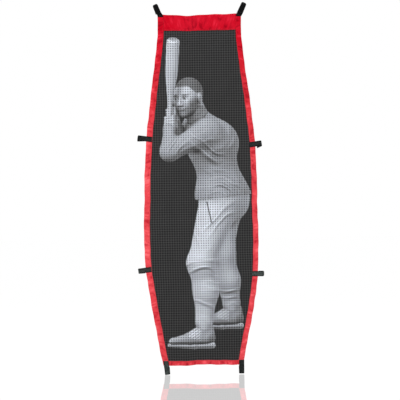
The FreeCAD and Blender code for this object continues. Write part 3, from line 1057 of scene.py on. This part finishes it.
# A tape folded over the panel's edge: s runs along it and a from the fold to its sewn edges.
# puff and depth are the heights of its swell and puckers, tone the strength of its painted shade
# in the creases and painted highlight on the crowns, the painted sheen where it pales and how much,
# bright the painted light on its fold and painted shade towards its sewn edges, and sunk draws its
# ends in.
def foldedTape(place, length, width, seed, columns, puff, depth, tone, paintedSheen, bright, sunk=None):

    # 1 in the free cloth, 0 along the seam and under a strap
    def held(s, a):
        x, z = place(s, a)
        free = smooth(width - a, 0.001, 0.01) * smooth(a, -0.002, 0.003)
        return free * (1 - pressed(np.stack([x, 0 * x, z], 1)))

    def rumple(s, a, side):
        return rumpled(s, a, seed + 7 * (side > 0))

    # Points on the outer face, at the front (-1) or the back (1)
    def surface(s, a, side):
        swell = puff * np.sin(np.pi * clipped(a / width)) ** 0.8 + depth * rumple(s, a, side)
        base = layers["outer"] + np.maximum(held(s, a) * swell, -0.0002)
        if sunk:
            toEnd = length / 2 - np.abs(s - length / 2) - tuck
            base = base + smooth(-toEnd, -0.009, -0.001) * (layers["outer"] - sunk - base)
        x, z = place(s, a)
        return np.stack([x, side * base, z], 1)

    def build(name):
        stations = np.linspace(0, length, int(length / 0.003) + 1)
        flat = np.ones(len(stations))
        foldRadius, foldAngles = 0.0016, np.radians([-60, -25, 0, 25, 60])
        across = np.linspace(width, foldRadius, columns)
        edge = 0.0007 * noise(stations / 0.04, stations * 0, seed + 11)
        rings, rumples, acrosses = [], [], []
        for side, order in ((-1, across), (1, across[::-1])):
            for a in order:
                rings.append(surface(stations, a + edge * smooth(width - a, 0, width), side))
                # The rumple value sets painted shade in the creases and painted highlight on the
                # crowns; bright adds painted light by the fold and painted shade towards the sewn
                # edges
                creaseShading = tone * rumple(stations, a * flat, side)
                creaseShading = creaseShading * (0.35 + 0.65 * held(stations, a * flat))
                rumples.append(creaseShading + bright * (1 - 2.2 * a / width))
                acrosses.append(a * flat)
            for angle in foldAngles if side < 0 else ():
                x, z = place(stations, foldRadius * (1 - math.cos(angle)) + edge)
                rings.append(np.stack([x, 0.00155 * math.sin(angle) * flat, z], 1))
                # Painted light along the fold
                rumples.append(bright * flat)
                acrosses.append(foldRadius * angle * flat)
        outer = np.stack(rings, 1)
        inner = outer[:, ::-1].copy()
        tip = slice(columns, columns + len(foldAngles))
        wall = np.full(inner.shape[1], layers["wall"])
        wall[tip] = 0.0
        inner[:, :, 1] -= np.sign(inner[:, :, 1]) * wall
        for axis, inward in zip((0, 2), place(stations, (foldRadius + 0.0004) * flat)):
            inner[:, tip, axis] = inward[:, None]
        inner[:, tip, 1] *= 0.6
        points, faces = tube(np.concatenate([outer, inner], 1))
        runs = {"rumple": rumples, "along": [stations] * len(rings), "across": acrosses}
        values = {key: np.stack(run + run[::-1], 1).ravel() for key, run in runs.items()}
        # Painted sheen: the cloth pales past a given length along the tape
        values["paintedSheen"] = paintedSheen[2] * smooth(values["along"], *paintedSheen[:2])
        return meshPiece(name, hang(points), faces, "red", values)

    def seam(inset, side):
        s = np.arange(0.004, length - 0.004, 0.002)
        line = surface(s, np.full(len(s), width - inset), side)
        line[:, 1] += side * 0.00012
        return hang(line)

    return SimpleNamespace(build=build, seam=seam, width=width)


def sidePlace(sign):
    return lambda s, a: (sign * (halfWidth(s) - a), -s)


# A band across the panel; the side bindings cover its slanting ends
def acrossPlace(length, dropAt):
    def place(s, a):
        drop = dropAt(a)
        left, right = (halfWidth(drop) - bindings[side] + tuck for side in ("left", "right"))
        return s / length * (left + right) - left, -drop
    return place


def bandLength(drop):
    return float(2 * halfWidth(drop)) - bindings["left"] - bindings["right"] + 2 * tuck


headerLength = bandLength(bindings["header"] / 2)
tapeLength = bandLength(panelHeight - bindings["bottom"] / 2)
headerPlace = acrossPlace(headerLength, lambda a: a)
tapePlace = acrossPlace(tapeLength, lambda a: panelHeight - a)
sideTape, sideLength = (13, 0.001, 0.0016, 1.0), 2.05  # the length is that of its curve
# CAD node, cut length, insets of the seams, and shape
strips = {
    "left_binding": ("left_side_binding", sideLength, (0.0025,), foldedTape(
        sidePlace(-1), panelHeight, bindings["left"], 100, *sideTape, (0.05, 0.9, 1.0), 0.1)),
    "right_binding": ("right_side_binding", sideLength, (0.0025,), foldedTape(
        sidePlace(1), panelHeight, bindings["right"], 200, *sideTape, (0.05, 0.85, 0.85), 0.05)),
    "header": ("header_band", headerLength, (0.0025, 0.0085), foldedTape(
        headerPlace, headerLength, bindings["header"], 300, 30,
        0.0006, 0.0012, 0.75, (9.0, 9.1, 0.0), 0.22, 0.0006)),
    "bottom_tape": ("bottom_binding", tapeLength, (0.0025,), foldedTape(
        tapePlace, tapeLength, bindings["bottom"], 400, 10,
        0.0006, 0.0014, 1.25, (-1.0, -0.9, 0.6), 0.1, 0.0006)),
}
stripPieces = {name: strip.build(name) for name, (_, _, _, strip) in strips.items()}
print("header and bindings made")

seams = [strip.seam(inset, side)
         for _, _, insets, strip in strips.values() for side in (-1, 1) for inset in insets]
seamPiece = stitching("binding_stitching", seams, "panel", "redThread", 0.004, 0.0004, "red_cloth")
panelPieces = [
    (netPiece, "target_mesh", "printed_mesh"),
    (backingPiece, "backing_cloth", "backing"),
]
panelPieces += [(stripPieces[name], node, "red_cloth") for name, (node, _, _, _) in strips.items()]
for piece, node, slot in panelPieces:
    seat(piece, "panel", slot, node)


# Rounded sections across the webbing. A station is its place along the strap and off the cloth,
# the way its outer face looks, its slant, its shift to the side and its share of the thickness.
def webbingSkin(strap, stations):
    v = np.sin(0.5 * np.pi * np.linspace(-1, 1, 13))
    thick = 0.5 * webbing["thickness"] * np.sqrt(1 - np.abs(v) ** 6 * 0.999)
    order = np.concatenate([np.arange(13), np.arange(11, 0, -1)])
    sign = np.where(np.arange(len(order)) < 13, 1, -1)
    v, thick = v[order], sign * thick[order]
    half, corner = webbing["width"] / 2, strap.tip
    rings, alongs, path, before = [], [], 0.0, None
    for u, y, normalU, normalY, shear, shift, taper in stations:
        short = clipped(corner - (strap.fold + 0.0031 - u), 0, corner)
        w = v * (half - corner + math.sqrt(max(corner**2 - short**2, 0)))
        out = thick * taper
        forward = u - w * shear * strap.sine / strap.cosine + out * normalU
        ring = strap.root + np.outer(forward, strap.along)
        ring = ring + np.outer(w + shift, strap.across)
        ring[:, 1] += y + out * normalY
        path += math.dist((u, y), before or (u, y))
        before = (u, y)
        rings.append(ring)
        alongs.append(np.full(len(v), path))
    # Painted light along the middle of the webbing, fading out towards its edges
    middle = 1 - smooth(np.abs(v), 0.5, 0.97)
    values = {"across": v * half, "rim": np.abs(v) ** 8, "lit": strap.lit * middle}
    values = {key: np.tile(run, len(rings)) for key, run in values.items()}
    return np.stack(rings), {"along": np.concatenate(alongs), **values}


# The loop stands a little open
def legBow(strap, u):
    return strap.bow * np.sin(math.pi * clipped(u / strap.fold, 0.0, 1.0)) ** 2


# How far the flap lies to one side of the leg
def flapShift(strap, u):
    return strap.offset + strap.skew * (strap.fold - u)


def cutEnd(distance):
    return 0.35 + 0.65 * math.sqrt(min(1.0, distance / 0.0008))


# From the sewn end of the base to the middle of the leg
def rootStations(strap, middle):
    start = -strap.base / strap.cosine
    stations = []
    for u in [start, start + 0.0003, start + 0.0008, *np.linspace(start + 0.002, middle, 34)]:
        shear = 1 - smooth(u, -0.004, 0.012)
        depth = -webbing["foldRadius"] - legBow(strap, u)
        stations.append((u, depth, 0.0, -1.0, shear, 0.0, cutEnd(u - start)))
    return stations


# From the middle of the leg round the tip and back along the flap
def tipStations(strap, middle):
    fold, radius, bend = strap.fold, webbing["foldRadius"], math.radians(78)
    stations = []
    for u in np.linspace(middle, fold, 22):
        stations.append((u, -radius - legBow(strap, u), 0.0, -1.0, 0.0, 0.0, 1.0))
    for angle in np.linspace(-bend, bend, 13):
        c, s = math.cos(angle), math.sin(angle)
        shift = strap.offset * 0.5 * (1 + s / math.sin(bend))
        stations.append((fold + radius * c, radius * s, c, s, 0.0, shift, 1.0))
    end = strap.start
    for u in [*np.linspace(fold, end + 0.002, 30), end + 0.0008, end + 0.0003, end]:
        shift = flapShift(strap, u)
        stations.append((u, radius + legBow(strap, u), 0.0, 1.0, 0.0, shift, cutEnd(u - end)))
    return stations


# Hook (-1) or loop (1) tape inside the strap, with its bristles
def patchPiece(name, strap, side, material, pile, seed):
    start = strap.start + 0.0005
    end = strap.fold - webbing["margin"]
    half, columns, count = webbing["patch"] / 2, 11, 25
    outer, inner = side * 0.0015, side * 0.0008
    middle = 0.5 * (outer + inner)
    v = np.linspace(-1, 1, columns)
    rings, alongs, piles = [], [], []
    for index, u in enumerate(np.linspace(start, end, count)):
        atEnd = index in (0, count - 1)
        edge = np.where(np.abs(v) > 0.99, 0.45, 1.0) * (0.55 if atEnd else 1.0)
        shift = flapShift(strap, u) if side > 0 else 0.0
        top = strap.root + strap.along * u + np.outer(v * half + shift, strap.across)
        under = top[::-1].copy()
        top[:, 1] += middle + (inner - middle) * edge
        under[:, 1] += middle + (outer - middle) * edge
        rings.append(np.concatenate([top, under]))
        alongs.append(np.full(2 * columns, u))
        piles.append(np.concatenate([(np.abs(v) < 0.95) & (not atEnd), np.zeros(columns)]))
    points, faces = tube(np.stack(rings))
    piles = np.concatenate(piles).astype(float)
    acrosses = np.tile(np.concatenate([v, v[::-1]]) * half, count)
    values = {"along": np.concatenate(alongs), "across": acrosses, "pile": piles, "rim": 1 - piles}
    piece = meshPiece(name, points, faces, material, values)
    return grown(piece, trees["pile"], {**pile, "Seed": seed, "Material": materials[material]})


# A sewn box on the webbing, with a cross in it if asked
def boxLines(strap, low, high, y, inset, cross=False):
    half = webbing["width"] / 2 - inset
    runs = [[(low, -half), (high, -half), (high, half), (low, half), (low, -half)]]
    if cross:
        runs += [[(low, -half), (high, half)], [(low, half), (high, -half)]]
    lines = []
    for run in runs:
        path = []
        for first, second in zip(run, run[1:]):
            count = max(2, int(math.dist(first, second) / 0.0015))
            path += list(np.linspace(first, second, count, endpoint=False))
        u, w = np.array(path + [run[-1]]).T
        line = strap.root + np.outer(u, strap.along) + np.outer(w, strap.across)
        line[:, 1] += y
        lines.append(line)
    return lines


hookPile = {
    "Density": 620000.0, "Height": 0.00085, "Sweep": 4.1, "Tilt": 0.15, "Thickness": 0.00008}
loopPile = {
    "Density": 950000.0, "Height": 0.00075, "Sweep": 5.2, "Tilt": 0.9, "Thickness": 0.00005}
outerFace = webbing["outerFace"]
baseSeams = []
for number, (name, strap) in enumerate(straps.items()):
    middle = 0.52 * strap.fold
    rings, values = webbingSkin(strap, rootStations(strap, middle))
    flat = rings.reshape(-1, 3)
    outside = (flat - strap.root) @ strap.normal
    flat = hang(flat, 1 - smooth(outside, 0.0, 0.016))
    points, faces = tube(flat.reshape(rings.shape), capEnd=False)
    root = meshPiece(name + "_strap_root", points, faces, "webbing", values, False)
    rings, values = webbingSkin(strap, tipStations(strap, middle))
    points, faces = tube(rings, capStart=False)
    tip = meshPiece(name + "_strap_loop", points, faces, "webbing", values, False)
    name + "_strap"
    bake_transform(root)
    name + "_strap"
    name + "_flap"
    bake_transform(tip)
    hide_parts(name + "_strap_base", name + "_strap_leg")
    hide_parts(name + "_strap_fold", name + "_strap_flap")
    hook = patchPiece(name + "_hooks", strap, -1, "hook", hookPile, 10 + number)
    loop = patchPiece(name + "_loops", strap, 1, "loop", loopPile, 30 + number)
    seat(hook, name + "_strap", "hook_tape", name + "_hook_patch")
    seat(loop, name + "_flap", "loop_tape", name + "_loop_patch")
    lean = abs(strap.sine) * 0.012
    ends = (0.003 - strap.base + lean, -0.002 - lean)
    crossed = strap.base > 0.02
    baseSeams += [hang(line) for line in boxLines(strap, *ends, -outerFace, 0.003, crossed)]
    ends = (strap.start + 0.002, strap.fold - webbing["margin"] - 0.0015)
    for side, part, rider in ((-1, "_leg_stitching", "_strap"), (1, "_flap_stitching", "_flap")):
        lines = boxLines(strap, *ends, side * outerFace, 0.0035)
        for line in lines:
            reach = (line - strap.root) @ strap.along
            line[:, 1] += side * legBow(strap, reach)
            if side > 0:
                line += np.outer(flapShift(strap, reach), strap.across)
        stitching(name + part, lines, name + rider, "blackThread", 0.003, 0.00028, "webbing")
stitching("strap_base_stitching", baseSeams, "panel", "blackThread", 0.003, 0.0003, "webbing")
print("straps made")

# Sizes of the sheets as they were cut, worked out here and not kept
panelCut, foldOver = (0.652, panelHeight), 0.003
for name, (_, length, _, strip) in strips.items():
    flat = (2 * strip.width + foldOver, length)


def whiteWorld(ambient):
    world = bpy.data.worlds.new("studio")
    world.use_nodes = True
    tree = world.node_tree
    tree.nodes.clear()
    rays = addNode(tree, "LightPath").outputs
    kinds = ("Camera", "Glossy", "Transmission")
    seen, glossy, passed = (Flow(rays["Is %s Ray" % kind]) for kind in kinds)
    direct = seen.maths("MAXIMUM", glossy).maths("MAXIMUM", passed)
    white = (1.0, 1.0, 1.0, 1.0)
    soft, full = (
        made(tree, "Background", {"Color": white, "Strength": power}) for power in (ambient, 1.0))
    both = made(tree, "MixShader", {0: direct, 1: soft, 2: full})
    addNode(tree, "OutputWorld", {"Surface": both})
    bpy.context.scene.world = world


def areaLamp(name, place, size, power):
    lamp = bpy.data.lights.new(name, "AREA")
    lamp.shape, lamp.size, lamp.size_y, lamp.energy = "RECTANGLE", size[0], size[1], power
    holder = linked(name, lamp)
    holder.location = place
    aim = Vector((0.0, 0.0, -1.0)) - Vector(place)
    holder.rotation_euler = aim.to_track_quat("-Z", "Y").to_euler()


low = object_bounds()[0]
floorPoints = [(x, y, low[2]) for x, y in ((-20, -14), (20, -14), (20, 30), (-20, 30))]
meshPiece("floor", floorPoints, [(0, 1, 2, 3)], "floor", closed=False)
whiteWorld(0.62)
areaLamp("key", (-3.2, -3.4, 1.2), (1.6, 2.6), 150.0)
areaLamp("fill", (3.4, -3.8, -0.2), (2.4, 3.0), 62.0)
areaLamp("top", (0.3, -0.8, 2.6), (2.6, 1.4), 34.0)
areaLamp("behind", (0.6, 4.2, 0.8), (3.0, 3.0), 110.0)

view = {"distance": 8.5, "centre": (-0.0076, -1.063), "width": 2.292, "roll": -0.75}
camera = linked("camera", bpy.data.cameras.new("camera"))
camera.data.sensor_width = 36.0
camera.data.lens = 36.0 * view["distance"] / view["width"]
camera.matrix_world = (
    Matrix.Translation((view["centre"][0], -view["distance"], view["centre"][1]))
    @ Matrix.Rotation(math.radians(90), 4, "X")
    @ Matrix.Rotation(math.radians(view["roll"]), 4, "Z")
)
bpy.context.scene.camera = camera
bpy.context.scene.view_settings.view_transform = "Standard"

print("scene complete")
